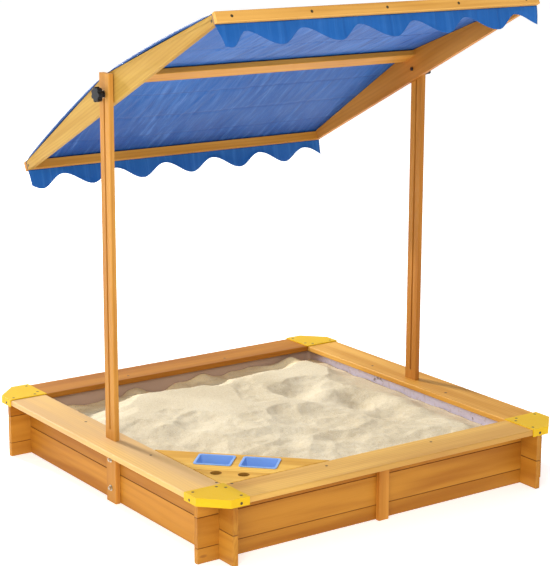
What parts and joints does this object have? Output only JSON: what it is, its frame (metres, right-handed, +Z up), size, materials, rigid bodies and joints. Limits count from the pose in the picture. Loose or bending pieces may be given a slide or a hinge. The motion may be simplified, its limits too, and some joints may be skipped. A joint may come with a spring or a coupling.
{
  "type": "sandbox with cover",
  "caption": "Square wooden sandbox with seat boards, a corner mud table and a tilting fabric canopy between two slotted posts that comes down as its cover.",
  "frame": {"origin": "centre of the sandbox's footprint, on the ground", "axes": "+X to the right post, +Y to the back (the end where the canopy is low at rest), +Z up"},
  "size_m": [1.186, 1.186, 1.3695],
  "materials": {
    "stained_wood": "honey stained softwood, lightly sanded",
    "cap_plastic": "yellow moulded plastic, satin",
    "tub_plastic": "blue moulded plastic",
    "knob_plastic": "black moulded plastic",
    "canopy_fabric": "blue coated woven tarpaulin",
    "sheet_fabric": "pale woven ground sheet",
    "sand": "fine pale play sand",
    "black_steel": "blackened steel",
    "screw_steel": "dark yellow-passivated steel",
    "zinc_steel": "zinc plated steel"
  },
  "bodies": {
    "sandbox": {"back_cleat": "stained_wood", "back_left_cap": "cap_plastic", "back_right_cap": "cap_plastic", "back_seat": "stained_wood", "back_wall_lower": "stained_wood", "back_wall_middle": "stained_wood", "back_wall_upper": "stained_wood", "cap_screws": "screw_steel", "cap_side_screws": "screw_steel", "cleat_screws": "screw_steel", "front_cleat": "stained_wood", "front_left_cap": "cap_plastic", "front_right_cap": "cap_plastic", "front_seat": "stained_wood", "front_wall_lower": "stained_wood", "front_wall_middle": "stained_wood", "front_wall_upper": "stained_wood", "ground_sheet": "sheet_fabric", "ledger_screws": "screw_steel", "left_post": "stained_wood", "left_seat": "stained_wood", "left_wall_lower": "stained_wood", "left_wall_upper": "stained_wood", "post_bolts": "zinc_steel", "post_nuts": "zinc_steel", "post_washers": "zinc_steel", "right_post": "stained_wood", "right_seat": "stained_wood", "right_wall_lower": "stained_wood", "right_wall_upper": "stained_wood", "sand": "sand", "seat_screws": "screw_steel", "table_corner_board": "stained_wood", "table_ledger_front": "stained_wood", "table_ledger_left": "stained_wood", "table_screws": "screw_steel", "table_tub_board": "stained_wood"},
    "slide_bolts": {"pivot_bolts": "black_steel", "knob_washers": "zinc_steel", "gable_washers": "knob_plastic"},
    "roof": {"back_batten": "stained_wood", "back_end_bar": "stained_wood", "back_valance": "canopy_fabric", "batten_screws": "screw_steel", "canopy": "canopy_fabric", "front_batten": "stained_wood", "front_end_bar": "stained_wood", "front_valance": "canopy_fabric", "left_gable": "stained_wood", "ridge_board": "stained_wood", "right_gable": "stained_wood", "roof_frame_screws": "screw_steel"},
    "left_knob": {"left_knob": "knob_plastic"},
    "right_knob": {"right_knob": "knob_plastic"},
    "left_tub": {"left_tub": "tub_plastic"},
    "right_tub": {"right_tub": "tub_plastic"}
  },
  "joints": [
    {"name": "roof_lift", "type": "slide", "parent": "sandbox", "child": "slide_bolts", "axis": [0, 0, 1], "range_m": [-0.9075, 0], "deforming": ["front_valance", "back_valance"]},
    {"name": "roof_tilt", "type": "hinge", "parent": "slide_bolts", "child": "roof", "pos_m": [0, 0, 1.122], "axis": [1, 0, 0], "range_deg": [0, 26.6]},
    {"name": "left_knob_turn", "type": "hinge", "parent": "slide_bolts", "child": "left_knob", "pos_m": [-0.533, 0, 1.122], "axis": [-1, 0, 0], "continuous": true},
    {"name": "right_knob_turn", "type": "hinge", "parent": "slide_bolts", "child": "right_knob", "pos_m": [0.533, 0, 1.122], "axis": [1, 0, 0], "continuous": true},
    {"name": "left_tub_lift", "type": "slide", "parent": "sandbox", "child": "left_tub", "axis": [0, 0, 1], "range_m": [0, 0.1]},
    {"name": "right_tub_lift", "type": "slide", "parent": "sandbox", "child": "right_tub", "axis": [0, 0, 1], "range_m": [0, 0.1]}
  ],
  "couplings": [
    {"joint": "roof_tilt", "follows": "roof_lift", "rad_per_m": -0.50965}
  ]
}
